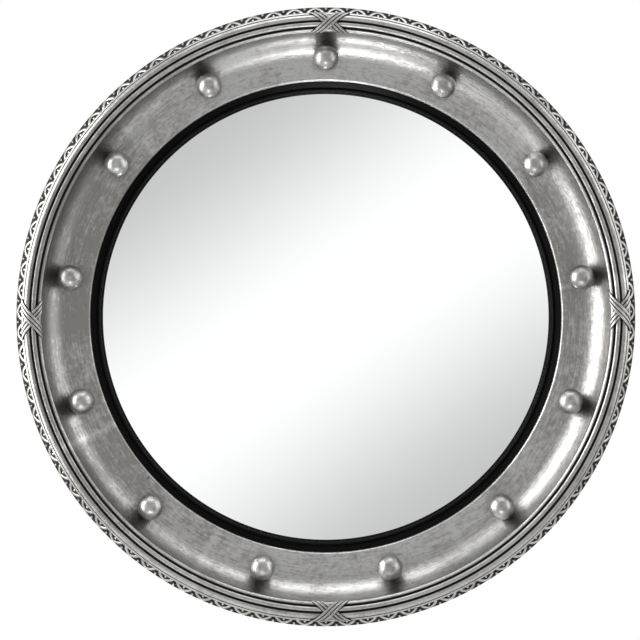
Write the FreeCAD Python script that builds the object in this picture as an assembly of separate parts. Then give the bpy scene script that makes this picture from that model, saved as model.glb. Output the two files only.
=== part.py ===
import FreeCAD, Part
import math
import os

# Round convex mirror in a turned, silver-leafed frame, in millimetres.
# The wall is the plane Y = 0, the glass faces -Y and +Z is up. The origin is the centre of the
# mirror on the wall. A turned piece is drawn as a section: radius from the centre line, and
# height off the wall. Angles round the frame run clockwise from the top, seen from the front.

V = FreeCAD.Vector
os.makedirs("parts", exist_ok=True)

# Overall
outer_diameter = 610.0          # over the leaf border
wall_gap = 6.0                  # from the wall to the back of the frame, the height of the pads
fit_gap = 0.3                   # between pieces that are dropped in or seated on a curve
close_gap = 0.15                # between pieces that are glued or pressed together

# Widths across the front of the frame, from the outside in
border_width = 5.9              # leaf border beyond the outermost reed
reed_outer_width = 8.3
reed_middle_width = 4.9
reed_inner_width = 4.0
groove_width = 1.2
cove_width = 43.5
lip_width = 3.0                 # rounded inner edge of the frame
slip_sight_width = 9.7          # black ring seen inside the lip
glass_lap = 5.7                 # hidden behind the black ring

# Heights of the frame, above its back face unless said otherwise
roof_height = 18.0              # underside of the lip
lip_edge = 1.0                  # thickness of its inner edge
cove_floor_height = 22.0
cove_rise = 27.7                # above the floor of the cove
cove_flat = 12.0                # level floor, from the lip to the foot of the cove
crest_rise = 5.2                # of the circle that the reeds stand on, above its chord
reed_roundness = 0.25           # rise of a reed over its width
groove_depth = 0.9
border_shadow = 0.6             # step under the outermost reed

# Back and side of the frame
side_radius_inset = 8.0         # of the plain side, inside the border
back_chamfer = 2.0
rebate_width = 8.0              # beyond the lip's inner edge, for the black ring
ledge_width = 10.0              # that the backboard lies on
side_cove_height = 8.0
ledge_edge = 2.0                # thickness of the edge under the border

# Leaf border
border_height = 13.6
border_thickness = 1.6          # hidden behind the outermost reed
border_roundness = 0.115        # rise of its curve over its width
border_foot_round = 0.9
border_overhang = 1.2           # beyond the ledge under it

# Glass, black ring, packing and board
glass_radius = 835.0            # of the dome's front
glass_rim_height = 8.0          # of the front of its rim, above the back face
glass_thickness = 3.0
slip_slope_width = 5.7
slip_slope_drop = 3.4
slip_bead_width = 3.2
slip_bead_rise = 1.4
slip_edge_round = 0.8
packing_width = 13.0
packing_inset = 1.5             # inside the rim of the glass
board_thickness = 3.0
board_clearance = 1.0           # round its edge

# Balls
ball_count = 13
ball_diameter = 25.0
ball_inset = 24.1               # from the edge of the cove to the centre of the ball
ball_crowding = 1.8             # degrees that the hand-set balls crowd to the top
dowel_diameter = 5.0
dowel_length = 10.0

# Ribbon ties
tie_height = 2.7                # over the circle that the reeds stand on
tie_end_thickness = 1.4
tie_under_share = 0.8           # thickness of the ribbon underneath, over the one on top
tie_web = 0.6                   # thickness between the strands
strands = 3
strand_width = 2.8
strand_pitch = 3.4
tie_slope = 1.0                 # run along the reeds for each unit across them
tie_steps = 8
tie_reach = 4.6                 # degrees each side

# Turn buttons
button_count = 8
button_nose = 18.0
button_tail = 8.0
button_width = 10.0
button_thickness = 1.0
button_hole = 4.2
button_inset = 11.0             # from the edge of the board's recess to the screw
button_lift = 0.2               # off the back of the frame
button_screw_diameter = 3.9
button_screw_length = 10.0
button_head_diameter = 7.0
button_head_height = 1.6

# Ring hangers
hanger_angle = 67.5             # each side of the top
hanger_inset = 22.0             # from the side of the frame to the hinge of the ring
strap_width = 12.0
strap_length = 41.0
strap_thickness = 1.0
ring_wire = 2.5
ring_inner_width = 15.0
ring_inner_depth = 15.0
ring_corner = 2.4
ring_running_gap = 0.3
strap_screw_places = (24.0, 35.0)
strap_screw_diameter = 3.0
strap_screw_length = 13.0
strap_head_diameter = 6.0
strap_head_height = 1.5
strap_hole = 3.3

# Wall pads
pad_diameter = 20.0
pad_inset = 17.0                # from the side of the frame
pad_angles = (22.5, 157.5, 202.5, 337.5)

screw_hole_gap = 0.1            # between a screw's shank and its hole, on the radius

# Radii, from the outside in
outer_radius = outer_diameter / 2
reeds_out = outer_radius - border_width
reed_widths = (reed_inner_width, reed_middle_width, reed_outer_width)
cove_out = reeds_out - sum(reed_widths) - 2 * groove_width
lip_out = cove_out - cove_width
lip_in = lip_out - lip_width
sight_radius = lip_in - slip_sight_width
glass_rim = sight_radius + glass_lap
rebate_radius = lip_in + rebate_width
recess_radius = rebate_radius + ledge_width
board_radius = recess_radius - board_clearance
side_radius = outer_radius - side_radius_inset

# Heights off the wall
back = wall_gap
ledge = back + board_thickness + close_gap
roof = back + roof_height
cove_floor = back + cove_floor_height
lip_drop = cove_floor - roof - lip_edge
glass_centre = back + glass_rim_height - math.sqrt(glass_radius ** 2 - glass_rim ** 2)

# The cove is a level floor and one arc. The centre of the arc stands over its foot.
cove_low = lip_out + cove_flat
cove_run = cove_out - cove_low
cove_radius = (cove_run ** 2 + cove_rise ** 2) / (2 * cove_rise)
cove_centre = cove_floor + cove_radius

# The lip is an arc that meets the floor of the cove level.
lip_radius = (lip_width ** 2 + lip_drop ** 2) / (2 * lip_drop)
lip_rise = lip_radius - math.sqrt(lip_radius ** 2 - (lip_width ** 2 + lip_drop ** 2) / 4)

# The feet of the reeds stand on one circle, through both edges of the crest.
crest_half = (reeds_out - cove_out) / 2
crest_radius = (crest_half ** 2 + crest_rise ** 2) / (2 * crest_rise)
crest_middle = cove_out + crest_half
crest_centre = cove_floor + cove_rise + crest_rise - crest_radius

# Turn buttons and hangers
button_circle = recess_radius + button_inset
hanger_circle = side_radius - hanger_inset
curl_inner = ring_wire / 2 + ring_running_gap
curl_outer = curl_inner + strap_thickness
hanger_x = hanger_circle * math.sin(math.radians(hanger_angle))
hanger_z = hanger_circle * math.cos(math.radians(hanger_angle))


def at(radius, height):
    """Point of a section: X is the radius and the height stands towards -Y."""
    return V(radius, -height, 0)


def line(a, b):
    return Part.LineSegment(a, b).toShape()


def arc(a, middle, b):
    return Part.Arc(a, middle, b).toShape()


def bulged(a, b, rise):
    """Arc from a to b. Going outwards, a positive rise lifts its middle off the wall."""
    chord = b - a
    lift = V(chord.y, -chord.x, 0).normalize() * rise
    return arc(a, (a + b) * 0.5 + lift, b)


def joined(points):
    """Straight edges from each point to the next."""
    return [line(a, b) for a, b in zip(points, points[1:])]


def turned(edges, sweep=360.0):
    """Solid swept by a section about the centre line, half the sweep to each side of +X."""
    face = Part.Face(Part.Wire(edges))
    face.rotate(V(0, 0, 0), V(0, 1, 0), -sweep / 2)
    solid = Part.Solid(face.revolve(V(0, 0, 0), V(0, 1, 0), sweep))
    if solid.Volume < 0:
        solid.reverse()
    return solid


def at_clock(shape, angle):
    """Copy of a shape made on the +X side, turned to a clock angle from the top."""
    copy = shape.copy()
    copy.rotate(V(0, 0, 0), V(0, 1, 0), angle - 90)
    return copy


def rod(start, end, radius):
    direction = end - start
    return Part.makeCylinder(radius, direction.Length, start, direction)


def save(name, *solids):
    shape = solids[0] if len(solids) == 1 else Part.makeCompound(list(solids))
    assert shape.isValid(), name
    shape.exportStep("parts/" + name + ".step")
    print(f"{name:22s} {len(shape.Solids):3d} solids {shape.Volume / 1000:10.2f} cm3")


# Turned frame

def cove_height(radius):
    return cove_centre - math.sqrt(cove_radius ** 2 - (radius - cove_low) ** 2)


def crest_foot(radius, lift=0.0):
    """Point over the crest's circle at a radius, moved straight off the circle by lift."""
    across = radius - crest_middle
    up = math.sqrt(crest_radius ** 2 - across ** 2)
    grow = 1 + lift / crest_radius
    return at(crest_middle + across * grow, crest_centre + up * grow)


def reed_edges(lift=0.0):
    """Three reeds with grooves between them, from the cove out to the border."""
    edges = []
    start = cove_out
    for width in reed_widths:
        if edges:
            floor = crest_foot(start - groove_width / 2, lift - groove_depth)
            edges += joined([edges[-1].lastVertex().Point, floor, crest_foot(start, lift)])
        edges.append(bulged(crest_foot(start, lift), crest_foot(start + width, lift),
                            reed_roundness * width))
        start += width + groove_width
    return edges


def reed_end(edges):
    return edges[-1].lastVertex().Point


def ball_seat():
    """Centre of a ball in the section, and the unit vector from it into the wood."""
    across = cove_run - ball_inset
    reach = cove_radius - ball_diameter / 2 - close_gap
    down = math.sqrt(reach ** 2 - across ** 2)
    into = at(across, -down) * (1 / reach)
    return at(cove_low + across, cove_centre - down), into


def ball_angle(index):
    """Clock angle of a ball. The balls stand a little closer together near the top."""
    even = 360.0 * index / ball_count
    return even - ball_crowding * math.sin(math.radians(even))


def button_angle(index):
    return 360.0 * index / button_count


def border_seat():
    """Radius of the border's seat, and the heights of its two ends."""
    top = cove_floor + cove_rise - border_shadow
    return reeds_out - border_thickness, top, top - border_height


def frame_ring():
    seat, top, bottom = border_seat()
    ledge_out = outer_radius - border_overhang
    reeds = reed_edges()
    crest_edge = reed_end(reeds)
    lip_start, lip_end = at(lip_in, roof + lip_edge), at(lip_out, cove_floor)
    cove_start = at(cove_low, cove_floor)
    cove_middle = cove_low + cove_run / 2
    edge_foot = at(ledge_out, bottom - ledge_edge)
    side_top = at(side_radius, bottom - ledge_edge - side_cove_height)
    edges = joined([at(recess_radius, back), at(recess_radius, ledge), at(rebate_radius, ledge),
                    at(rebate_radius, roof), at(lip_in, roof), lip_start])
    edges.append(bulged(lip_start, lip_end, lip_rise))
    edges.append(line(lip_end, cove_start))
    edges.append(arc(cove_start, at(cove_middle, cove_height(cove_middle)), crest_foot(cove_out)))
    edges += reeds
    edges += joined([crest_edge, at(reeds_out, top), at(seat, top), at(seat, bottom),
                     at(ledge_out, bottom), edge_foot])
    edges.append(bulged(edge_foot, side_top, -side_cove_height / 5))
    edges += joined([side_top, at(side_radius, back + back_chamfer),
                     at(side_radius - back_chamfer, back), at(recess_radius, back)])
    return turned(edges).cut(Part.makeCompound(frame_holes()))


def frame_holes():
    """Dowel holes for the balls and pilot holes for the screws."""
    centre, into = ball_seat()
    start = centre + into * (ball_diameter / 4)
    end = centre + into * (ball_diameter / 2 + dowel_length + fit_gap)
    dowel = rod(start, end, dowel_diameter / 2 + close_gap)
    holes = [at_clock(dowel, ball_angle(i)) for i in range(ball_count)]
    for index in range(button_count):
        holes.append(at_clock(screw_hole(at(button_circle, back), button_screw_diameter,
                                         button_screw_length), button_angle(index)))
    for side in (-1, 1):
        for drop in strap_screw_places:
            start = V(side * hanger_x, -back, hanger_z - drop)
            holes.append(screw_hole(start, strap_screw_diameter, strap_screw_length))
    return holes


def screw_hole(start, diameter, length):
    """Hole from just outside the back face, a little longer than the screw."""
    outside = start + V(0, fit_gap, 0)
    return rod(outside, start - V(0, length + fit_gap, 0), diameter / 2 + screw_hole_gap)


def leaf_border():
    seat, top, bottom = border_seat()
    inner = seat + close_gap
    crown = at(reeds_out + close_gap, top - close_gap)
    foot = at(outer_radius, bottom + close_gap + border_foot_round)
    toe = at(outer_radius - border_foot_round, bottom + close_gap)
    face = bulged(crown, foot, border_roundness * border_height)
    foot_round = bulged(foot, toe, border_foot_round / 5)
    edges = [line(at(inner, top - close_gap), crown), face, foot_round]
    edges += joined([toe, at(inner, bottom + close_gap), at(inner, top - close_gap)])
    return turned(edges)


# Ribbon ties

def tie_arc(share):
    """Outer line of a ribbon across the crest, as its two ends and its middle."""
    end_lift = close_gap + tie_end_thickness * share
    inner = crest_foot(cove_out, end_lift)
    outer = crest_foot(reeds_out, end_lift)
    middle = at(crest_middle, crest_centre + crest_radius + close_gap + tie_height * share)
    return inner, middle, outer


def tie_layer(share):
    """Layer from just over the reeds up to the outer line of a ribbon."""
    lower = reed_edges(close_gap)
    inner, middle, outer = tie_arc(share)
    edges = [line(inner, lower[0].firstVertex().Point)] + lower
    edges += [line(reed_end(lower), outer), arc(outer, middle, inner)]
    return turned(edges, 2 * tie_reach)


def tie_web_layer():
    """Thin layer that follows the reeds, between the strands of a tie."""
    lower = reed_edges(close_gap)
    upper = reed_edges(close_gap + tie_web)
    edges = lower + [line(reed_end(lower), reed_end(upper))] + upper[::-1]
    edges.append(line(upper[0].firstVertex().Point, lower[0].firstVertex().Point))
    return turned(edges, 2 * tie_reach)


def strand_block(direction, offset, width):
    """Upright block over one strand. The strand crosses the reeds at a constant slope, measured
    over the curve of the crest, so in plan it bends along the reeds at both ends."""
    inner, middle, outer = tie_arc(1.0)
    circle = Part.Arc(inner, middle, outer)
    length = circle.length()
    spread = math.hypot(1, tie_slope)
    sides = []
    for edge in (-width / 2, width / 2):
        points = []
        for step in range(tie_steps + 1):
            share = step / tie_steps
            radius = circle.value(circle.FirstParameter
                                  + share * (circle.LastParameter - circle.FirstParameter)).x
            if step == 0:
                radius -= tie_end_thickness
            if step == tie_steps:
                radius += tie_end_thickness
            along = direction * tie_slope * (share - 0.5) * length + (offset + edge) * spread
            turn = along / crest_middle
            points.append(V(radius * math.cos(turn), 0, -radius * math.sin(turn)))
        sides.append(points)
    outline = sides[0] + sides[1][::-1]
    face = Part.Face(Part.makePolygon(outline + outline[:1]))
    return face.extrude(V(0, -(crest_centre + crest_radius + 2 * tie_height), 0))


def ribbon_tie():
    """Two crossed ribbons of three strands. The one that leans clockwise lies on top."""
    over, under, web = tie_layer(1.0), tie_layer(tie_under_share), tie_web_layer()
    band = strand_pitch * (strands - 1) + strand_width
    pieces = []
    for direction, layer in ((1, over), (-1, under)):
        pieces.append(web.common(strand_block(direction, 0.0, band)))
        for index in range(strands):
            offset = (index - (strands - 1) / 2) * strand_pitch
            pieces.append(layer.common(strand_block(direction, offset, strand_width)))
    whole = pieces[0].fuse(pieces[1:])
    assert len(whole.Solids) == 1
    return whole.Solids[0]


# Balls

def ball():
    """Turned ball and its dowel, in one piece."""
    centre, into = ball_seat()
    sphere = Part.makeSphere(ball_diameter / 2, centre)
    end = centre + into * (ball_diameter / 2 + dowel_length)
    return sphere.fuse(rod(centre, end, dowel_diameter / 2)).Solids[0]


# Glass, black ring, packing and board

def dome_height(radius, offset=0.0):
    """Height of the dome, or of a surface that lies a distance in front of it."""
    return glass_centre + math.sqrt((glass_radius + offset) ** 2 - radius ** 2)


def dome_edge(start, end, offset=0.0):
    middle = (start + end) / 2
    return arc(at(start, dome_height(start, offset)), at(middle, dome_height(middle, offset)),
               at(end, dome_height(end, offset)))


def mirror_glass():
    front, rear = dome_edge(0.0, glass_rim), dome_edge(glass_rim, 0.0, -glass_thickness)
    edges = [front, line(front.lastVertex().Point, rear.firstVertex().Point), rear,
             line(rear.lastVertex().Point, front.firstVertex().Point)]
    return turned(edges)


def black_slip():
    """Ring under the lip that holds the rim of the glass, with a bead along its inner edge."""
    outer = rebate_radius - fit_gap
    top = roof - close_gap
    rim = glass_rim + fit_gap
    foot = back + board_thickness + fit_gap
    slope_end = at(lip_in - slip_slope_width, top - slip_slope_drop)
    bead_in = at(slope_end.x - slip_bead_width, -slope_end.y)
    edge_top = at(sight_radius, -slope_end.y - slip_edge_round)
    seat = dome_edge(rim, sight_radius, fit_gap)
    edges = joined([at(outer, top), at(outer, foot), at(rim, foot), seat.firstVertex().Point])
    edges.append(seat)
    edges += joined([seat.lastVertex().Point, edge_top, bead_in])
    edges.append(bulged(bead_in, slope_end, slip_bead_rise))
    edges += joined([slope_end, at(lip_in, top), at(outer, top)])
    return turned(edges)


def glass_packing():
    """Foam ring between the board and the back of the glass."""
    outer = glass_rim - packing_inset
    inner = outer - packing_width
    bottom = back + board_thickness
    top = dome_edge(inner, outer, -glass_thickness - fit_gap)
    edges = [top] + joined([top.lastVertex().Point, at(outer, bottom), at(inner, bottom),
                            top.firstVertex().Point])
    return turned(edges)


def backboard():
    return Part.makeCylinder(board_radius, board_thickness, at(0, back), V(0, -1, 0))


# Turn buttons

def turn_button():
    """Flat steel button on the +X side, its rounded nose turned in over the board."""
    half = button_width / 2
    face_height = back - button_lift
    nose = button_circle - button_nose + half
    tail = button_circle + button_tail - half
    corners = [V(tail, 0, half), V(nose, 0, half), V(nose, 0, -half), V(tail, 0, -half)]
    edges = [line(corners[0], corners[1]), arc(corners[1], V(nose - half, 0, 0), corners[2]),
             line(corners[2], corners[3]), arc(corners[3], V(tail + half, 0, 0), corners[0])]
    plate = Part.Face(Part.Wire(edges)).extrude(V(0, button_thickness, 0))
    plate.translate(V(0, -face_height, 0))
    hole = rod(V(button_circle, 0, 0), V(button_circle, -2 * back, 0), button_hole / 2)
    return plate.cut(hole).Solids[0]


def pan_head_screw(place, head_at, diameter, length, head_diameter, head_height):
    """Screw into the back of the frame. Its head's underside stands at head_at off the wall."""
    shank = rod(V(place.x, -head_at, place.z), V(place.x, -(back + length), place.z), diameter / 2)
    base = V(place.x, -head_at, place.z)
    head = Part.makeCylinder(head_diameter / 2, head_height, base, V(0, 1, 0))
    rim = [edge for edge in head.Edges if abs(edge.BoundBox.YMax + head_at - head_height) < 1e-6
           and edge.Closed]
    head = head.makeFillet(head_height / 2, rim)
    return shank.fuse(head).Solids[0]


def turn_button_screws():
    head_at = back - button_lift - button_thickness - close_gap
    screw = pan_head_screw(V(button_circle, 0, 0), head_at, button_screw_diameter,
                           button_screw_length, button_head_diameter, button_head_height)
    return [at_clock(screw, button_angle(index)) for index in range(button_count)]


# Ring hangers

def hanger_axis(side):
    """Middle of the hinge of a hanger. The curl of its strap touches the back of the frame."""
    return V(side * hanger_x, curl_outer - back, hanger_z)


def hanger_strap(side):
    """Steel strap with its upper end curled round the ring's bar."""
    axis = hanger_axis(side)
    left = axis.x - strap_width / 2
    across = V(1, 0, 0)
    tube = Part.makeCylinder(curl_outer, strap_width, V(left, axis.y, axis.z), across)
    plate = Part.makeBox(strap_width, strap_thickness, strap_length,
                         V(left, -back, axis.z - strap_length))
    bore = Part.makeCylinder(curl_inner, strap_width, V(left, axis.y, axis.z), across)
    ends = [edge for edge in plate.Edges if abs(edge.BoundBox.ZMax - plate.BoundBox.ZMin) < 1e-6
            and edge.BoundBox.YLength > strap_thickness / 2]
    plate = plate.makeFillet(strap_width / 3, ends)
    strap = plate.fuse(tube).cut(bore)
    for drop in strap_screw_places:
        start = V(axis.x, 0, axis.z - drop)
        strap = strap.cut(rod(start, start - V(0, 2 * back, 0), strap_hole / 2))
    return strap.removeSplitter().Solids[0]


def hanger_ring(side):
    """D ring of round wire, hanging down from its hinge."""
    axis = hanger_axis(side)
    wire = ring_wire / 2
    half = ring_inner_width / 2 + wire
    depth = ring_inner_depth + ring_wire
    turn = ring_corner
    slant = turn * (1 - math.sqrt(0.5))

    def point(x, z):
        return V(axis.x + x, axis.y, axis.z + z)

    path = [line(point(0, 0), point(half - turn, 0)),
            arc(point(half - turn, 0), point(half - slant, -slant), point(half, -turn)),
            line(point(half, -turn), point(half, half - depth)),
            arc(point(half, half - depth), point(0, -depth), point(-half, half - depth)),
            line(point(-half, half - depth), point(-half, -turn)),
            arc(point(-half, -turn), point(slant - half, -slant), point(turn - half, 0)),
            line(point(turn - half, 0), point(0, 0))]
    spine = Part.Wire(path)
    section = Part.Wire(Part.makeCircle(wire, point(0, 0), V(1, 0, 0)))
    ring = Part.Solid(spine.makePipeShell([section], True, False))
    if ring.Volume < 0:
        ring.reverse()
    print(f"ring wire: {ring.Volume:.1f} mm3, section times length {math.pi * wire ** 2 * spine.Length:.1f}")
    return ring


def hanger_screws():
    head_at = back - strap_thickness - close_gap
    return [pan_head_screw(V(side * hanger_x, 0, hanger_z - drop), head_at, strap_screw_diameter,
                           strap_screw_length, strap_head_diameter, strap_head_height)
            for side in (-1, 1) for drop in strap_screw_places]


def wall_pad(angle):
    pad = Part.makeCylinder(pad_diameter / 2, wall_gap, V(side_radius - pad_inset, 0, 0), V(0, -1, 0))
    return at_clock(pad, angle)


save("frame_ring", frame_ring())
save("leaf_border", leaf_border())
tie = ribbon_tie()
for name, angle in (("top", 0), ("right", 90), ("bottom", 180), ("left", 270)):
    save("ribbon_tie_" + name, at_clock(tie, angle))
for index in range(ball_count):
    save(f"ball_{index + 1:02d}", at_clock(ball(), ball_angle(index)))
save("black_slip", black_slip())
save("mirror_glass", mirror_glass())
save("glass_packing", glass_packing())
save("backboard", backboard())
for index in range(button_count):
    save(f"turn_button_{index + 1}", at_clock(turn_button(), button_angle(index)))
save("turn_button_screws", *turn_button_screws())
for name, side in (("left", -1), ("right", 1)):
    save("hanger_strap_" + name, hanger_strap(side))
    save("hanger_ring_" + name, hanger_ring(side))
save("hanger_screws", *hanger_screws())
for index, angle in enumerate(pad_angles):
    save(f"wall_pad_{index + 1}", wall_pad(angle))
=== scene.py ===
import math
import bpy
import numpy as np
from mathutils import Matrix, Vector


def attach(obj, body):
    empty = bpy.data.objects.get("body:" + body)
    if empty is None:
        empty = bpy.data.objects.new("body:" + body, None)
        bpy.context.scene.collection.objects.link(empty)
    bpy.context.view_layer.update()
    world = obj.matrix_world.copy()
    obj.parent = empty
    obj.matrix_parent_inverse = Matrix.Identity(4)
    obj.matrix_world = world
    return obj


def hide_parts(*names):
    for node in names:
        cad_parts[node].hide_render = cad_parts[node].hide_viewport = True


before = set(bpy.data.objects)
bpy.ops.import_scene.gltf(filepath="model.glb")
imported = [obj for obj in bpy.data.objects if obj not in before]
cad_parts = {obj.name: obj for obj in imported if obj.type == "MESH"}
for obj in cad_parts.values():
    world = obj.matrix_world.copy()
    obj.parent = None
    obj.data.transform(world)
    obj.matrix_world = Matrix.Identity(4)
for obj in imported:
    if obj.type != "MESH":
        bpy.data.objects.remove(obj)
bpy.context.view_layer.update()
print("frame loaded")

# Sizes in the dictionaries are millimetres, and meshes are metres. A turned piece is drawn as a
# section of points (radius, height off the wall). Clock angles run clockwise from the top, seen
# from the front.
mm = 0.001
fullTurn = 2 * math.pi


# Evenly spaced points of a straight line, without its end.
def stretch(start, end, steps):
    share = np.linspace(0, 1, steps, endpoint=False)[:, None]
    return np.array(start) * (1 - share) + np.array(end) * share


# Centre and radius of the circle through three points: the centre lies on both bisectors.
def circleThrough(a, b, c):
    a, b, c = (np.array(p, float) for p in (a, b, c))
    centre = np.linalg.solve(2 * np.array([b - a, c - a]), [b @ b - a @ a, c @ c - a @ a])
    return centre, math.dist(centre, a)


# Points of the arc from a through b to c, without its end.
def arcThrough(a, b, c, steps):
    centre, radius = circleThrough(a, b, c)
    first, middle, last = (math.atan2(p[1] - centre[1], p[0] - centre[0]) for p in (a, b, c))
    turn = (last - first) % fullTurn
    if (middle - first) % fullTurn > turn:
        turn -= fullTurn
    angle = first + turn * np.linspace(0, 1, steps, endpoint=False)
    return centre + radius * np.stack([np.cos(angle), np.sin(angle)], 1)


# Arc from a to b whose middle stands off the straight line by rise, to the left of travel.
def bulge(a, b, rise, steps):
    a, b = np.array(a, float), np.array(b, float)
    chord = b - a
    left = np.array([-chord[1], chord[0]]) / math.hypot(*chord)
    return arcThrough(a, (a + b) / 2 + left * rise, b, steps)


# Rounds a corner between the directions of a and b: (1-t)^2 inward + 2t(1-t) corner + t^2 onward.
def rounded(a, corner, b, radius, steps=4):
    a, corner, b = (np.array(p, float) for p in (a, corner, b))
    inward = corner + (a - corner) / math.dist(a, corner) * radius
    onward = corner + (b - corner) / math.dist(b, corner) * radius
    t = np.linspace(0, 1, steps)[:, None]
    return (1 - t) ** 2 * inward + 2 * t * (1 - t) * corner + t ** 2 * onward


# Drops each point of a closed section that lies on the one before it, and its marks with it.
def withoutRepeats(section, *marks):
    keep = np.hypot(*(section - np.roll(section, 1, 0)).T) > 0.01
    return [part[keep] for part in (section, *marks)]


# Sum over the triangles of a . (b x c) / 6, which is positive when they face outwards.
def signedVolume(points, triangles):
    a, b, c = (points[triangles[:, k]] for k in range(3))
    return np.einsum("ij,ij->i", a, np.cross(b, c)).sum() / 6


# Mesh over a grid of points, rows by columns, with one quad between each four neighbours. The
# columns always join up. The rows join up too when ringed, or else a fan closes each end row.
# look gives a material number for each row, and marks gives named values for each point.
def latticeMesh(name, grid, ringed, finish, look=None, marks=None):
    rows, columns = grid.shape[:2]
    points = grid.reshape(-1, 3)
    down = np.arange(rows if ringed else rows - 1)[:, None]
    across = np.arange(columns)[None, :]
    nextDown, nextAcross = (down + 1) % rows, (across + 1) % columns
    corners = (down * columns + across, nextDown * columns + across,
               nextDown * columns + nextAcross, down * columns + nextAcross)
    quads = np.stack(np.broadcast_arrays(*corners), -1).reshape(-1, 4)
    numbers = np.repeat(np.zeros(rows, int) if look is None else look, columns)[:len(quads)]
    fans = np.zeros((0, 3), int)
    if not ringed:
        first = np.arange(columns)
        last = first + (rows - 1) * columns
        start = np.stack([first, np.roll(first, -1), np.full(columns, len(points))], 1)
        end = np.stack([np.roll(last, -1), last, np.full(columns, len(points) + 1)], 1)
        fans = np.concatenate([start, end])
        points = np.concatenate([points, grid[:1].mean(1), grid[-1:].mean(1)])
        numbers = np.concatenate([numbers, np.repeat(numbers[[0, -1]], columns)])
    if signedVolume(points, np.concatenate([quads[:, [0, 1, 2]], quads[:, [0, 2, 3]], fans])) < 0:
        quads, fans = quads[:, ::-1], fans[:, ::-1]
    sides = np.concatenate([np.full(len(quads), 4), np.full(len(fans), 3)])
    mesh = bpy.data.meshes.new(name)
    mesh.vertices.add(len(points))
    mesh.vertices.foreach_set("co", points.astype(np.float32).ravel())
    mesh.loops.add(int(sides.sum()))
    loops = np.concatenate([quads.ravel(), fans.ravel()])
    mesh.loops.foreach_set("vertex_index", loops.astype(np.int32))
    mesh.polygons.add(len(sides))
    mesh.polygons.foreach_set("loop_start", (np.cumsum(sides) - sides).astype(np.int32))
    mesh.polygons.foreach_set("use_smooth", np.ones(len(sides), bool))
    for part in finish:
        mesh.materials.append(part)
    mesh.polygons.foreach_set("material_index", numbers.astype(np.int32))
    for markName, values in (marks or {}).items():
        spare = np.zeros(len(points), np.float32)
        spare[:rows * columns] = np.broadcast_to(values, (rows, columns)).ravel()
        mesh.attributes.new(markName, "FLOAT", "POINT").data.foreach_set("value", spare)
    mesh.update(calc_edges=True)
    thing = bpy.data.objects.new(name, mesh)
    bpy.context.scene.collection.objects.link(thing)
    return thing


# A section (rows) at each clock angle (columns): x = r sin a, y = -h, z = r cos a.
def carriedRound(radii, heights, angles):
    spread = np.broadcast_arrays(radii * np.sin(angles), -heights, radii * np.cos(angles))
    return np.stack(spread, -1) * mm


# Angles spread evenly over a whole turn.
def roundAngles(columns):
    return np.linspace(0, fullTurn, columns, endpoint=False)


# Bell curve of a distance over a width.
def bell(distance, width):
    return np.exp(-(distance / width) ** 2)


# Length along a section from its first point, in millimetres, as one column.
def runAlong(section):
    steps = np.hypot(*np.diff(section, axis=0).T)
    return np.concatenate([[0], np.cumsum(steps)])[:, None]


# Sum of slow waves round the ring, amount x sin(count x angle + phase): the wander of hand work.
def wavy(angles, waves):
    return sum(amount * np.sin(count * angles + phase) for count, amount, phase in waves)


# Joins several objects into the first of them.
def joinedUp(name, things):
    bpy.ops.object.select_all(action="DESELECT")
    for thing in things:
        thing.select_set(True)
    bpy.context.view_layer.objects.active = things[0]
    bpy.ops.object.join()
    things[0].name = name
    return things[0]


# Says which body a piece moves with, and hides the nodes that it stands for.
def settle(thing, slot, body, *nodes):
    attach(thing, body)
    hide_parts(*nodes)


# An operator of Flow: a Math node with this operation, its two values swapped when flipped.
def mathStep(operation, flipped=False):
    def step(self, other):
        pair = (other, self) if flipped else (self, other)
        return self.recipe.add("ShaderNodeMath", {"operation": operation}, dict(enumerate(pair)))
    return step


# Wraps an output socket, so that an expression on it adds its Math nodes.
class Flow:
    def __init__(self, recipe, socket):
        self.recipe = recipe
        self.socket = socket

    __add__, __radd__ = mathStep("ADD"), mathStep("ADD", True)
    __sub__, __rsub__ = mathStep("SUBTRACT"), mathStep("SUBTRACT", True)
    __mul__, __rmul__ = mathStep("MULTIPLY"), mathStep("MULTIPLY", True)
    __truediv__, __rtruediv__ = mathStep("DIVIDE"), mathStep("DIVIDE", True)
    __pow__, __rpow__ = mathStep("POWER"), mathStep("POWER", True)

    def mathOf(self, operation):
        return self.recipe.add("ShaderNodeMath", {"operation": operation}, {0: self})

    # 0 below low, 1 above high, and an S curve between them.
    def between(self, low, high):
        return self.recipe.add("ShaderNodeMapRange", {"interpolation_type": "SMOOTHSTEP"},
                               {0: self, 1: low, 2: high})

    def clipped(self):
        return self.recipe.add("ShaderNodeClamp", {}, {0: self})

    # Another output of the same node.
    def other(self, output):
        return Flow(self.recipe, self.socket.node.outputs[output])


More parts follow.
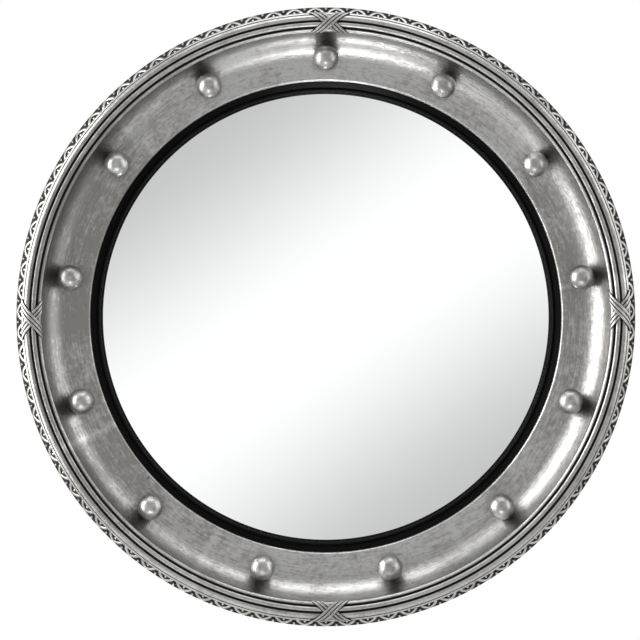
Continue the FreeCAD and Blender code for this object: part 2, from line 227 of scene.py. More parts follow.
# The nodes of one material or world.
class Recipe:
    def __init__(self, holder):
        self.holder = holder
        holder.use_nodes = True
        self.tree = holder.node_tree
        self.tree.nodes.clear()

    # Adds a node, sets its settings, then its sockets, and gives one output of it.
    def add(self, kind, settings, sockets, output=0):
        node = self.tree.nodes.new(kind)
        for name, value in settings.items():
            if name == "stops":
                fillRamp(node.color_ramp, value)
            else:
                setattr(node, name, value)
        for place, value in sockets.items():
            if isinstance(value, Flow):
                self.tree.links.new(value.socket, node.inputs[place])
            else:
                node.inputs[place].default_value = value
        return Flow(self, node.outputs[output]) if node.outputs else None

    def place(self):
        return self.add("ShaderNodeTexCoord", {}, {}, "Object")

    def parts(self, vector):
        x = self.add("ShaderNodeSeparateXYZ", {}, {0: vector})
        return x, x.other(1), x.other(2)

    def vector(self, x, y, z):
        return self.add("ShaderNodeCombineXYZ", {}, {0: x, 1: y, 2: z})

    def noise(self, vector, scale, detail=3.0, rough=0.55):
        return self.add("ShaderNodeTexNoise", {}, {"Vector": vector, "Scale": scale,
                                                   "Detail": detail, "Roughness": rough})

    def mix(self, share, first, second):
        return self.add("ShaderNodeMix", {"data_type": "RGBA"}, {0: share, 6: first, 7: second}, 2)

    def mark(self, name):
        return self.add("ShaderNodeAttribute", {"attribute_name": name}, {}, "Fac")

    def ramp(self, share, stops):
        return self.add("ShaderNodeValToRGB", {"stops": stops}, {0: share})

    # height is in millimetres.
    def bump(self, height):
        return self.add("ShaderNodeBump", {}, {"Strength": 1.0, "Distance": mm, "Height": height})

    def finish(self, colour, roughness, normal=None, metallic=0.0, specular=0.5):
        sockets = {"Base Color": colour, "Roughness": roughness, "Metallic": metallic,
                   "Specular IOR Level": specular}
        if normal:
            sockets["Normal"] = normal
        surface = self.add("ShaderNodeBsdfPrincipled", {}, sockets)
        self.add("ShaderNodeOutputMaterial", {}, {"Surface": surface})
        return self.holder


def newFinish(name):
    return Recipe(bpy.data.materials.new(name))


# Sets a ramp from (place, grey) pairs in rising order.
def fillRamp(ramp, stops):
    ramp.elements.remove(ramp.elements[1])
    ramp.elements[0].position = stops[0][0]
    ramp.elements[0].color = (*[stops[0][1]] * 3, 1)
    for place, value in stops[1:]:
        ramp.elements.new(place).color = (value, value, value, 1)


leafFinish = {
    # The third colour, near black, is the dark glaze of the hollows and also painted shade there:
    # recesses, reed edges and the lines where pieces touch.
    "silver": (0.36, 0.358, 0.355), "tarnish": (0.19, 0.184, 0.175), "glazeAndShade": (0.006, 0.0055, 0.005),
    "roughness": 0.36, "glazeRoughness": 0.6,
    "streakWidth": 1.6, "streakLength": 16.0, "streakDepth": 0.10, "streakContrast": 2.4,
    "grainSize": 4.5, "grainDepth": 0.28, "grainContrast": 2.2,
    "streakRadius": 260.0,                    # where a cell of the streaks has its full length
    "patchSize": 45.0, "patchContrast": 1.7, "waveDepth": 0.25,
    "speckScale": 380.0, "speckEdges": (0.71, 0.76), "speckDepth": 0.02, "speckGlaze": 0.7,
    "glazeAndShadeEdges": (0.35, 0.75), "glazeAndShadeRagged": 0.3, "glazeGloss": 0.1, "shadeGloss": 0.08,
    "laps": (7.2, 13.7, 34.0, 58.0, 83.0, 101.0, 122.5, 149.0, 172.0, 191.0, 206.7, 224.0, 238.8,
             243.3, 266.0, 299.6, 313.5, 338.0),
    "lapLine": 0.0004, "lapTones": (0.3, 0.72, 0.72), "lapContrast": 3.5, "sheetContrast": 0.16,
    "lapWanderScale": 40.0, "lapWander": 0.008,
    # Painted light: the two amounts below make the leaf lighter at the top and bottom and on the right,
    # for how the studio light falls on the cove.
    "paintedLight": 0.35, "paintedSideLight": 0.15,    # lighter at the top and bottom, and on the right
}


def opaque(colour):
    return (*colour, 1)


# Silver leaf rubbed along the ring, with dark glaze in the hollows that is also painted shade, blackening
# recesses, reed edges and the lines where pieces touch. A pattern round the ring uses the unit vector of
# the angle, so it has no seam: one cell is streakLength x streakWidth.
# The painted light is (z^2 - x^2) / r^2, lighter at the top and bottom, and x / r for the side, lighter on
# the right: it stands in for how the studio light falls on the cove.
def silverLeaf(name, ringed=True):
    size = leafFinish
    recipe = newFinish(name)
    place = recipe.place()
    cloud = recipe.noise(place, 1000 / size["patchSize"], 3.0, 0.6)
    grain = recipe.noise(place, 1000 / size["grainSize"], 4.0, 0.7)
    speck = recipe.noise(place, size["speckScale"], 2.0).between(*size["speckEdges"])
    shade = (cloud - 0.5) * size["patchContrast"] + (grain - 0.5) * size["grainContrast"]
    relief = grain * size["grainDepth"] + cloud * size["waveDepth"] - speck * size["speckDepth"]
    if ringed:
        x, y, z = recipe.parts(place)
        radius = (x * x + z * z) ** 0.5
        turns = size["streakRadius"] / size["streakLength"]
        streakPlace = recipe.vector(x / radius * turns, recipe.mark("run") / size["streakWidth"],
                                    z / radius * turns)
        streak = recipe.noise(streakPlace, 1.0, 4.0, 0.62)
        relief = relief + streak * size["streakDepth"]
        # Painted light, lighter at the top and bottom and on the right, added to the tone of the leaf.
        paintedLight = (z * z - x * x) / (radius * radius) * size["paintedLight"] + x / radius * size["paintedSideLight"]
        shade = shade + (streak - 0.5) * size["streakContrast"] + sheetTones(recipe, x, z) + paintedLight
    colour = recipe.mix((shade + 0.5).clipped(), opaque(size["tarnish"]), opaque(size["silver"]))
    # The hollow mark, made ragged by the grain, mixes in the near-black colour: partly dark glaze, partly
    # painted shade.
    ragged = recipe.mark("hollow") + (grain - 0.5) * size["glazeAndShadeRagged"]
    dark = (ragged.between(*size["glazeAndShadeEdges"]) + speck * size["speckGlaze"]).clipped()
    colour = recipe.mix(dark, colour, opaque(size["glazeAndShade"]))
    duller = dark * (size["glazeRoughness"] - size["roughness"])
    rough = size["roughness"] - shade * size["shadeGloss"] + duller
    return recipe.finish(colour, rough.clipped(), recipe.bump(relief), 1.0 - dark, size["glazeGloss"])


# Leaf comes in square sheets: each is a little lighter or darker than the next, and a thin line
# shows where they lap. The share of a turn wanders with a noise, so that the laps aren't straight.
# A ramp holds 32 stops, so the laps are shared between two, and the tones add up round the ring.
def sheetTones(recipe, x, z):
    size = leafFinish
    turn = recipe.add("ShaderNodeMath", {"operation": "ARCTAN2"}, {0: x, 1: z}) / fullTurn + 0.5
    wander = recipe.noise(recipe.place(), size["lapWanderScale"], 2.0) - 0.5
    turn = turn + wander * size["lapWander"]
    laps = sorted((angle / 360 + 0.5) % 1 for angle in size["laps"])
    tones = np.random.default_rng(11).uniform(-1, 1, len(laps) + 1) * size["sheetContrast"]
    tones[-1] = tones[0]
    steps = np.diff(tones)
    line = size["lapLine"]
    shade = float(tones[0])
    for half in (slice(0, len(laps) // 2), slice(len(laps) // 2, None)):
        level = 0.5
        stops, lines = [(0.0, 0.5)], [(0.0, 0.5)]
        for index, (lap, step) in enumerate(zip(laps[half], steps[half])):
            stops += [(lap - line, level), (lap + line, level + step)]
            level += step
            lines += [(lap - line, 0.5), (lap, size["lapTones"][index % 3]), (lap + line, 0.5)]
        shade = shade + recipe.ramp(turn, stops) - 0.5
        shade = shade + (recipe.ramp(turn, lines) - 0.5) * size["lapContrast"]
    return shade


ebonised = {"black": (0.0012, 0.0012, 0.0013, 1), "dusty": (0.003, 0.003, 0.0032, 1),
            "dustEdges": (0.35, 0.8), "roughness": 0.2, "gloss": 0.04}


# Black polish with a little dust, and a slow unevenness that varies its roughness.
def ebonisedWood():
    size = ebonised
    recipe = newFinish("ebonisedWood")
    dust = recipe.noise(recipe.place(), 600.0, 2.0)
    flow = recipe.noise(recipe.place(), 60.0)
    colour = recipe.mix(dust.between(*size["dustEdges"]), size["black"], size["dusty"])
    return recipe.finish(colour, flow * 0.1 + size["roughness"],
                         recipe.bump(dust * 0.008 + flow * 0.1), specular=size["gloss"])


# Nearly white metal, with a haze that blurs it a little here and there.
def silveredGlass():
    recipe = newFinish("silveredGlass")
    haze = recipe.noise(recipe.place(), 7.0)
    colour = recipe.mix(haze, (0.955, 0.965, 0.965, 1), (0.965, 0.97, 0.97, 1))
    return recipe.finish(colour, haze * 0.006, None, 1.0)


# Grey paint on the back of the glass, in clouds.
def mirrorBacking():
    recipe = newFinish("mirrorBacking")
    cloud = recipe.noise(recipe.place(), 40.0)
    colour = recipe.mix(cloud, (0.10, 0.105, 0.11, 1), (0.16, 0.165, 0.17, 1))
    return recipe.finish(colour, cloud * 0.2 + 0.5, recipe.bump(cloud * 0.1))


woodFinish = {"blocks": 8, "pale": (0.50, 0.36, 0.22, 1), "dark": (0.33, 0.21, 0.115, 1),
              "glue": (0.10, 0.065, 0.04, 1), "seam": 0.0022}


# Bare wood of the back: straight blocks glued into a ring. Within a block the grain runs along
# r sin a, and across it along r cos a, with a measured from the middle of the block.
def bareWood():
    size = woodFinish
    recipe = newFinish("bareWood")
    x, y, z = recipe.parts(recipe.place())
    block = recipe.add("ShaderNodeMath", {"operation": "ARCTAN2"}, {0: x, 1: z}) / fullTurn + 1.0
    block = block * size["blocks"]
    within = block.mathOf("FRACT") - 0.5
    number = block.mathOf("FLOOR")
    angle = within * (fullTurn / size["blocks"])
    radius = (x * x + z * z) ** 0.5
    along = radius * angle.mathOf("SINE")
    across = radius * angle.mathOf("COSINE")
    grain = recipe.noise(recipe.vector(along * 9 + number * 3.7, across * 260, y * 120), 1.0, 5.0, 0.62)
    bands = recipe.noise(recipe.vector(along * 2 + number * 5.1, across * 45, y * 20), 1.0, 2.0)
    colour = recipe.mix((grain * 0.7 + bands * 0.6 - 0.15).clipped(), size["pale"], size["dark"])
    seam = 1 - (0.5 - within.mathOf("ABSOLUTE")).between(0.0, size["seam"])
    colour = recipe.mix(seam * 0.8, colour, size["glue"])
    return recipe.finish(colour, grain * 0.2 + 0.55, recipe.bump(grain * 0.12 - seam * 0.2))


# A finish of one kind of grain: two colours and a roughness that follow one noise.
def speckled(name, scale, dark, light, roughness, spread, depth, metallic=0.0):
    recipe = newFinish(name)
    grain = recipe.noise(recipe.place(), scale, 5.0, 0.65)
    cloud = recipe.noise(recipe.place(), scale / 25)
    colour = recipe.mix((grain * 0.9 + cloud * 0.5 - 0.2).clipped(), dark, light)
    return recipe.finish(colour, grain * spread + roughness, recipe.bump(grain * depth), metallic)


finishes = {
    "turned": silverLeaf("silverLeafTurned"),
    "carved": silverLeaf("silverLeafCarved"),
    "plain": silverLeaf("silverLeafPlain", ringed=False),
    "black": ebonisedWood(),
    "mirror": silveredGlass(),
    "backing": mirrorBacking(),
    "wood": bareWood(),
    "board": speckled("hardboard", 320.0, (0.20, 0.118, 0.062, 1), (0.335, 0.215, 0.125, 1),
                      0.5, 0.25, 0.15),
    "steel": speckled("zincSteel", 500.0, (0.40, 0.41, 0.42, 1), (0.68, 0.68, 0.65, 1),
                      0.22, 0.3, 0.02, 1.0),
    "rubber": speckled("blackRubber", 900.0, (0.016, 0.016, 0.016, 1), (0.04, 0.04, 0.038, 1),
                       0.65, 0.2, 0.1),
    "foam": speckled("greyFoam", 1400.0, (0.09, 0.09, 0.095, 1), (0.2, 0.2, 0.21, 1),
                     0.8, 0.15, 0.3),
}
print("finishes made")


ring = {
    "outer": 305.0, "back": 6.0, "borderWidth": 5.9,
    # width, groove outside it, roundness; the last is the fillet beside the border
    "reeds": ((4.0, 1.2, 0.25), (4.9, 1.2, 0.25), (6.1, 0.3, 0.25), (1.9, 0.0, 0.15)),
    "reedSteps": 16, "plainEdge": 0.5,    # dark glaze and painted shade, as on a groove of this width
    # shares of the width of a groove
    "grooveDepth": 1.1, "grooveGlazeAndShade": 0.6, "grooveLip": 0.1, "grooveRound": 0.45,
    "coveWidth": 43.5, "coveFlat": 12.0, "coveRise": 27.7, "coveFloor": 28.0,
    "lipWidth": 3.0, "lipEdge": 1.0, "roof": 24.0, "crestRise": 5.2,
    "rebate": 8.0, "ledge": 10.0, "ledgeHeight": 9.15,
    "borderShadow": 0.6, "borderHeight": 13.6, "borderThickness": 1.6, "borderOverhang": 1.2,
    "ledgeEdge": 2.0, "sideInset": 8.0, "sideCove": 8.0, "sideHollow": 1.6, "chamfer": 2.0,
    "columns": 720,
    "wander": ((7, 0.025, 0.4), (19, 0.02, 1.9), (43, 0.012, 2.6)),    # count, amount, phase
}
reedsOut = ring["outer"] - ring["borderWidth"]
coveOut = reedsOut - sum(width + groove for width, groove, _ in ring["reeds"])
lipOut = coveOut - ring["coveWidth"]
lipIn = lipOut - ring["lipWidth"]
rebateOut = lipIn + ring["rebate"]
recessOut = rebateOut + ring["ledge"]
sideOut = ring["outer"] - ring["sideInset"]
coveLow = lipOut + ring["coveFlat"]
coveRun = coveOut - coveLow
coveRadius = (coveRun ** 2 + ring["coveRise"] ** 2) / (2 * ring["coveRise"])
coveCentre = ring["coveFloor"] + coveRadius
lipDrop = ring["coveFloor"] - ring["roof"] - ring["lipEdge"]
lipRadius = (ring["lipWidth"] ** 2 + lipDrop ** 2) / (2 * lipDrop)
lipRise = lipRadius - math.sqrt(lipRadius ** 2 - (ring["lipWidth"] ** 2 + lipDrop ** 2) / 4)
crestHalf = (reedsOut - coveOut) / 2
crestRadius = (crestHalf ** 2 + ring["crestRise"] ** 2) / (2 * ring["crestRise"])
crestMiddle = coveOut + crestHalf
crestFloor = ring["coveFloor"] + ring["coveRise"]
crestCentre = crestFloor + ring["crestRise"] - crestRadius
borderTop = crestFloor - ring["borderShadow"]
borderFoot = borderTop - ring["borderHeight"]


# Height of the cove: its centre less the root of (its radius squared less the run squared).
def coveHeight(radius):
    return coveCentre - math.sqrt(coveRadius ** 2 - (radius - coveLow) ** 2)


# Point on the circle that the reeds stand on, at a radius, moved straight off it by lift.
def crestFoot(radius, lift=0.0):
    across = radius - crestMiddle
    up = math.sqrt(crestRadius ** 2 - across ** 2)
    grow = 1 + lift / crestRadius
    return (crestMiddle + across * grow, crestCentre + up * grow)


# Runs of the front of the turned ring, each as (points, depth in a hollow, look); the depth sets dark
# glaze and painted shade. On a reed the depth is a bell curve of the distance from the nearer edge, so the
# reed edges are painted darker.
def frontRuns():
    size = ring
    floor, steps = size["coveFloor"], size["reedSteps"]
    lipFoot = (lipIn, size["roof"] + size["lipEdge"])
    coveMiddle = coveLow + coveRun / 2
    runs = [(bulge(lipFoot, (lipOut, floor), lipRise, 12), 0, 0),
            (stretch((lipOut, floor), (coveLow, floor), 10), 0, 0),
            (arcThrough((coveLow, floor), (coveMiddle, coveHeight(coveMiddle)),
                        crestFoot(coveOut), 40), 0, 0)]
    start = coveOut
    before = size["plainEdge"]
    for width, groove, roundness in size["reeds"]:
        end = start + width
        inner = crestFoot(start + size["grooveLip"] * before)
        outer = crestFoot(end - size["grooveLip"] * groove)
        place = np.linspace(0, width, steps, endpoint=False)
        edges = (place, before), (width - place, max(groove, size["plainEdge"]))
        # Painted shade with the glaze: each reed is painted darker toward its edges, over a bell whose
        # width is a share of the groove beside it.
        glazeAndShade = [bell(distance, size["grooveGlazeAndShade"] * gap + 0.01) for distance, gap in edges]
        runs.append((bulge(inner, outer, roundness * width, steps), np.maximum(*glazeAndShade), 0))
        if groove:
            bed = crestFoot(end + groove / 2, -size["grooveDepth"] * groove)
            radius = groove * size["grooveRound"]
            runs.append((rounded(crestFoot(end), bed, crestFoot(end + groove), radius, 5), 1, 0))
        start = end + groove
        before = groove
    return runs


# Runs of the seat of the border, the side and the back of the turned ring.
def rearRuns():
    size = ring
    seat = reedsOut - size["borderThickness"]
    ledgeOut = size["outer"] - size["borderOverhang"]
    edgeFoot = borderFoot - size["ledgeEdge"]
    sideTop = edgeFoot - size["sideCove"]
    back, roof, chamfer = size["back"], size["roof"], size["chamfer"]
    # The seat under the border is given dark glaze and painted shade in full, and the side hollow, chamfer
    # and lip corner a little.
    return [(np.array([crestFoot(reedsOut), (reedsOut, borderTop), (seat, borderTop)]), 1, 0),
            (stretch((seat, borderTop), (seat, borderFoot), 3), 1, 0),
            (stretch((seat, borderFoot), (ledgeOut - 0.5, borderFoot), 3), 1, 0),
            (rounded((seat, borderFoot), (ledgeOut, borderFoot), (ledgeOut, edgeFoot), 0.5), 0, 0),
            (rounded((ledgeOut, borderFoot), (ledgeOut, edgeFoot), (sideOut, edgeFoot), 0.4), 0, 0),
            (bulge((ledgeOut - 0.4, edgeFoot - 0.2), (sideOut, sideTop), -size["sideHollow"], 12),
             0.1, 0),
            (stretch((sideOut, sideTop), (sideOut, back + chamfer), 8), 0, 0),
            (stretch((sideOut, back + chamfer), (sideOut - chamfer, back), 3), 0.3, 0),
            (stretch((sideOut - chamfer, back), (recessOut, back), 12), 0, 1),
            (stretch((recessOut, back), (recessOut, size["ledgeHeight"]), 3), 0, 1),
            (stretch((recessOut, size["ledgeHeight"]), (rebateOut, size["ledgeHeight"]), 3), 0, 1),
            (stretch((rebateOut, size["ledgeHeight"]), (rebateOut, roof), 4), 0, 1),
            (stretch((rebateOut, roof), (lipIn + 0.5, roof), 3), 0, 1),
            (rounded((rebateOut, roof), (lipIn, roof), (lipIn, roof + size["lipEdge"]), 0.4), 0.5, 0)]


# The section carried round, with a slow wander of a few hundredths of a millimetre in front.
def turnedFrame():
    runs = frontRuns() + rearRuns()
    section = np.concatenate([run[0] for run in runs])
    hollow = np.concatenate([np.broadcast_to(run[1], len(run[0])) for run in runs])[:, None]
    look = np.concatenate([np.full(len(run[0]), run[2]) for run in runs])
    section, hollow, look = withoutRepeats(section, hollow, look)
    angles = roundAngles(ring["columns"])
    front = np.clip((section[:, 1:] - ring["coveFloor"]) / ring["coveRise"], 0, 1)
    heights = section[:, 1:] + front * wavy(angles, ring["wander"])
    grid = carriedRound(section[:, :1], heights, angles)
    thing = latticeMesh("turnedFrame", grid, True, (finishes["turned"], finishes["wood"]), look,
                        {"hollow": hollow, "run": runAlong(section)})
    settle(thing, "silver_leaf", "mirror", "frame_ring")


turnedFrame()
print("frame turned")


leaves = {
    "count": 91, "columnsPerLeaf": 30, "rows": 32,
    "gap": 0.15, "footRound": 0.9, "roundness": 0.115, "depth": 1.4,
    "archHalf": 0.365, "archTop": 0.88, "archPower": 1.4, "archWidth": 1.4,
    "tongueHalf": 0.08, "tongueMiddle": 0.2, "tongueLong": 0.34, "tongueHigh": 0.95,
    "dartHalf": 0.085, "dartMiddle": 0.95, "dartLong": 0.6, "dartHigh": 0.95,
    "innerRail": 0.45, "outerRail": 0.35, "glazeAndShade": 2.0, "handWork": 0.06,
}


# Dome over the unit circle: the square root of 1 - u^2 - v^2, and 0 outside.
def dome(u, v):
    return np.sqrt(np.clip(1 - u ** 2 - v ** 2, 0, 1))


# Flat-topped ridge: 1 / (1 + (distance / half width)^4).
def ridge(distance, half):
    return 1 / (1 + (distance / half) ** 4)


# Height of the carving, 1 on its ridges and 0 in its hollows, and the same without the foot rail.
# along runs -0.5 to 0.5 over one leaf, and across 0 to 1 from the reeds out, both as seen from the
# front. The arch is the curve e = 1, where e^n = |along / half|^n + (across / top)^n, and the
# distance from it is (e - 1) over the slope of e, in millimetres. The tongue and dart are domes.
def leafHeight(along, across, pitch, width):
    size = leaves
    half, top, power = size["archHalf"], size["archTop"], size["archPower"]
    u, v = np.abs(along) / half + 1e-4, across / top + 1e-4
    e = (u ** power + v ** power) ** (1 / power)
    slope = np.hypot((u / e) ** (power - 1) / (half * pitch), (v / e) ** (power - 1) / (top * width))
    arch = ridge((e - 1) / slope, size["archWidth"])
    tongue = dome(along / size["tongueHalf"], (across - size["tongueMiddle"]) / size["tongueLong"])
    dart = dome((0.5 - np.abs(along)) / size["dartHalf"], (across - size["dartMiddle"]) / size["dartLong"])
    carved = np.maximum.reduce([arch, size["tongueHigh"] * tongue, size["dartHigh"] * dart,
                                ridge(across * width, size["innerRail"]) * np.ones_like(along)])
    return np.maximum(carved, ridge((1 - across) * width, size["outerRail"])), carved


# The quarter-round section carried round, each point moved along its outward normal by the relief:
# depth x (height - 1), plus an unevenness of each leaf that is widest halfway across.
def carvedBorder():
    size = leaves
    gap = size["gap"]
    seat = reedsOut - ring["borderThickness"] + gap
    crown = np.array((reedsOut + gap, borderTop - gap))
    foot = np.array((ring["outer"], borderFoot + gap + size["footRound"]))
    toe = (ring["outer"] - size["footRound"], borderFoot + gap)
    face = bulge(crown, foot, size["roundness"] * ring["borderHeight"], size["rows"])
    centre, radius = circleThrough(face[0], face[size["rows"] // 2], face[-1])
    normal = (face - centre) / radius
    width = foot[0] - crown[0]
    across = (face[:, :1] - crown[0]) / width
    columns = size["count"] * size["columnsPerLeaf"]
    angles = roundAngles(columns)
    along = (np.arange(columns) / size["columnsPerLeaf"] % 1 - 0.5)[None, :]
    height, carved = leafHeight(along, across, fullTurn * crown[0] / size["count"], width)
    hand = np.repeat(np.random.default_rng(5).normal(0, size["handWork"], size["count"]),
                     size["columnsPerLeaf"])
    relief = np.minimum(size["depth"] * (height - 1) + hand * np.sin(math.pi * across), 0)
    closing = np.array([toe, (seat, toe[1]), (seat, crown[1])])
    radii, heights = (np.concatenate([face[:, k:k + 1] + normal[:, k:k + 1] * relief,
                                      np.repeat(closing[:, k:k + 1], columns, 1)]) for k in (0, 1))
    # Dark glaze and painted shade fill the hollows of the carving, and the foot rail too: it is left out
    # of the carved height so that it is painted dark as well.
    hollow = np.concatenate([np.clip((1 - carved) * size["glazeAndShade"], 0, 1), np.ones((3, columns))])
    run = runAlong(np.concatenate([face, closing]))
    thing = latticeMesh("carvedBorder", carriedRound(radii, heights, angles), True,
                        (finishes["carved"],), None, {"hollow": hollow, "run": run})
    settle(thing, "carved_silver_leaf", "mirror", "leaf_border")


carvedBorder()
print("border carved")


ribbon = {
    "height": 2.7, "endLift": 1.4, "glue": 0.15, "strands": 3, "width": 2.9, "pitch": 3.4,
    "thickness": 1.6, "crown": 0.5, "foot": 0.6, "veinWidth": 0.13, "veinDepth": 0.25, "slope": 1.0,
    "underDip": 1.0, "crossing": 7.0, "endTuck": 0.6, "steps": 48, "edgeGlazeAndShade": 1.1, "veinGlazeAndShade": 0.35,
    "clocks": {"top": 0.7, "right": 88.8, "bottom": 179.1, "left": 269.5},
}


# A strand goes over the crest along the arc above the reeds, and round the ring in proportion to
# the length of that arc. Its section is a flat-bottomed dome with a vein, laid on the sideways
# direction (normal x tangent) and the arc's normal.
def ribbonStrand(direction, offset, over):
    size = ribbon
    inner = crestFoot(coveOut, size["glue"] + size["endLift"])
    outer = crestFoot(reedsOut, size["glue"] + size["endLift"])
    middle = (crestMiddle, crestCentre + crestRadius + size["glue"] + size["height"])
    centre, radius = circleThrough(inner, middle, outer)
    first, last = (math.atan2(p[1] - centre[1], p[0] - centre[0]) for p in (inner, outer))
    share = np.linspace(0, 1, size["steps"])
    angle = first + (last - first) * share
    away = np.stack([np.cos(angle), np.sin(angle)], 1)
    length = abs(last - first) * radius
    toCrossing = (share - 0.5) * length * math.hypot(1, size["slope"]) / size["crossing"]
    dip = 0 if over else size["underDip"] * bell(toCrossing ** 2, 1)
    lift = -dip - size["endTuck"] * np.abs(2 * share - 1) ** 6
    section = centre + away * (radius + lift)[:, None]
    run = direction * size["slope"] * (share - 0.5) * length + offset * math.hypot(1, size["slope"])
    turn = run / crestMiddle
    points = np.stack([section[:, 0] * np.cos(turn), -section[:, 1], -section[:, 0] * np.sin(turn)], 1)
    normal = np.stack([away[:, 0] * np.cos(turn), -away[:, 1], -away[:, 0] * np.sin(turn)], 1)
    sideways = np.cross(normal, np.gradient(points, axis=0))
    sideways /= np.linalg.norm(sideways, axis=1, keepdims=True)
    across = np.linspace(-1, 1, 17)
    vein = bell(across, size["veinWidth"])
    top = -size["crown"] * size["thickness"] * np.abs(across) ** 3 - size["veinDepth"] * vein
    foot = np.array([(1, -0.75), (0.8, -1), (-0.8, -1), (-1, -0.75)])
    foot *= (size["foot"] * size["width"], size["thickness"])
    profile = np.concatenate([np.stack([across * size["width"] / 2, top], 1), foot])
    grid = (points[:, None] + sideways[:, None] * profile[None, :, :1]
            + normal[:, None] * profile[None, :, 1:]) * mm
    # Dark glaze and painted shade at the edges of each strand, where strands lie side by side, and in its
    # vein.
    glazeAndShade = size["edgeGlazeAndShade"] * np.abs(across) ** 3 + size["veinGlazeAndShade"] * vein
    hollow = np.concatenate([np.clip(glazeAndShade, 0, 1), np.ones(4)])
    return latticeMesh("strand", grid, False, (finishes["plain"],), None, {"hollow": hollow})


# Turns a mesh about the centre line: x' = x cos d + z sin d, z' = z cos d - x sin d.
def turnClockwise(thing, degrees):
    points = np.empty(len(thing.data.vertices) * 3, np.float32)
    thing.data.vertices.foreach_get("co", points)
    x, y, z = points.reshape(-1, 3).T
    c, s = math.cos(math.radians(degrees)), math.sin(math.radians(degrees))
    thing.data.vertices.foreach_set("co", np.stack([x * c + z * s, y, z * c - x * s], 1).ravel())
    thing.data.update()


# Two crossed ribbons. The one that leans clockwise on its way out lies on top.
def ribbonTie(side, clock):
    size = ribbon
    offsets = [(index - (size["strands"] - 1) / 2) * size["pitch"] for index in range(size["strands"])]
    strands = [ribbonStrand(direction, offset, direction > 0)
               for direction in (-1, 1) for offset in offsets]
    thing = joinedUp("ribbonTie" + side.capitalize(), strands)
    turnClockwise(thing, clock - 90)
    settle(thing, "silver_leaf", "mirror", "ribbon_tie_" + side)


for side, clock in ribbon["clocks"].items():
    ribbonTie(side, clock)
print("ribbons tied")


balls = {"count": 13, "radius": 12.5, "inset": 24.1, "crowding": 1.8, "glue": 0.15,
         "dowel": 2.5, "dowelTip": 0.6, "dowelLength": 10.0, "columns": 72, "rows": 44,
         "wobble": 0.004, "glazeAndShadeFrom": 0.80, "glazeAndShadeRise": 6}


# A ball and its dowel: a section (radius, height on its own axis) carried round that axis, which
# meets the cove square on. A ball stands at its even angle less crowding x the sine of it.
def turnedBall(number):
    size = balls
    radius, stub = size["radius"], size["dowel"]
    across = coveRun - size["inset"]
    reach = coveRadius - radius - size["glue"]
    down = math.sqrt(reach ** 2 - across ** 2)
    even = fullTurn * number / size["count"]
    clock = even - math.radians(size["crowding"]) * math.sin(even)
    polar = np.linspace(math.pi - math.asin(stub / radius), 0.02, size["rows"])
    tip = -(radius + size["dowelLength"])
    shank = [(stub * size["dowelTip"], tip), (stub, tip + 1), (stub, -radius * 0.99)]
    profile = np.concatenate([shank, radius * np.stack([np.sin(polar), np.cos(polar)], 1)])
    turn = roundAngles(size["columns"])
    wobble = 1 + size["wobble"] * np.sin(2 * turn + number)
    girth = profile[:, :1] * np.where(profile[:, 1:] > -radius * 0.9, wobble, 1)
    lean = -across / reach
    outward = np.array([lean * math.sin(clock), -down / reach, lean * math.cos(clock)])
    along = np.array([math.cos(clock), 0, -math.sin(clock)])
    third = np.cross(outward, along)
    centre = np.array([(coveLow + across) * math.sin(clock), down - coveCentre,
                       (coveLow + across) * math.cos(clock)])
    grid = (centre + profile[:, 1, None, None] * outward
            + girth[..., None] * (np.cos(turn)[:, None] * along + np.sin(turn)[:, None] * third)) * mm
    # Dark glaze and painted shade on the underside of the ball, toward the dowel, where it meets the cove.
    hollow = np.clip((-profile[:, 1:] / radius - size["glazeAndShadeFrom"]) * size["glazeAndShadeRise"], 0, 1)
    thing = latticeMesh(f"turnedBall{number + 1:02d}", grid, False, (finishes["plain"],), None,
                        {"hollow": hollow})
    settle(thing, "silver_leaf", "mirror", f"ball_{number + 1:02d}")


for number in range(balls["count"]):
    turnedBall(number)
print("balls turned")


slip = {"sightWidth": 9.7, "lap": 5.7, "gap": 0.3, "glue": 0.15, "slopeWidth": 5.7, "slopeDrop": 3.4,
        "beadWidth": 3.2, "beadRise": 1.4, "edgeRound": 0.8, "foot": 9.3, "columns": 540}
glass = {"radius": 835.0, "rimHeight": 14.0, "thickness": 3.0, "ground": 0.7,
         "columns": 360, "rows": 56}
sight = lipIn - slip["sightWidth"]
glassRim = sight + slip["lap"]
glassCentre = glass["rimHeight"] - math.sqrt(glass["radius"] ** 2 - glassRim ** 2)


# Height of the dome, or of a surface a distance in front of it: centre + root of (R^2 - r^2).
def domeHeight(radius, offset=0.0):
    return glassCentre + np.sqrt((glass["radius"] + offset) ** 2 - np.square(radius))


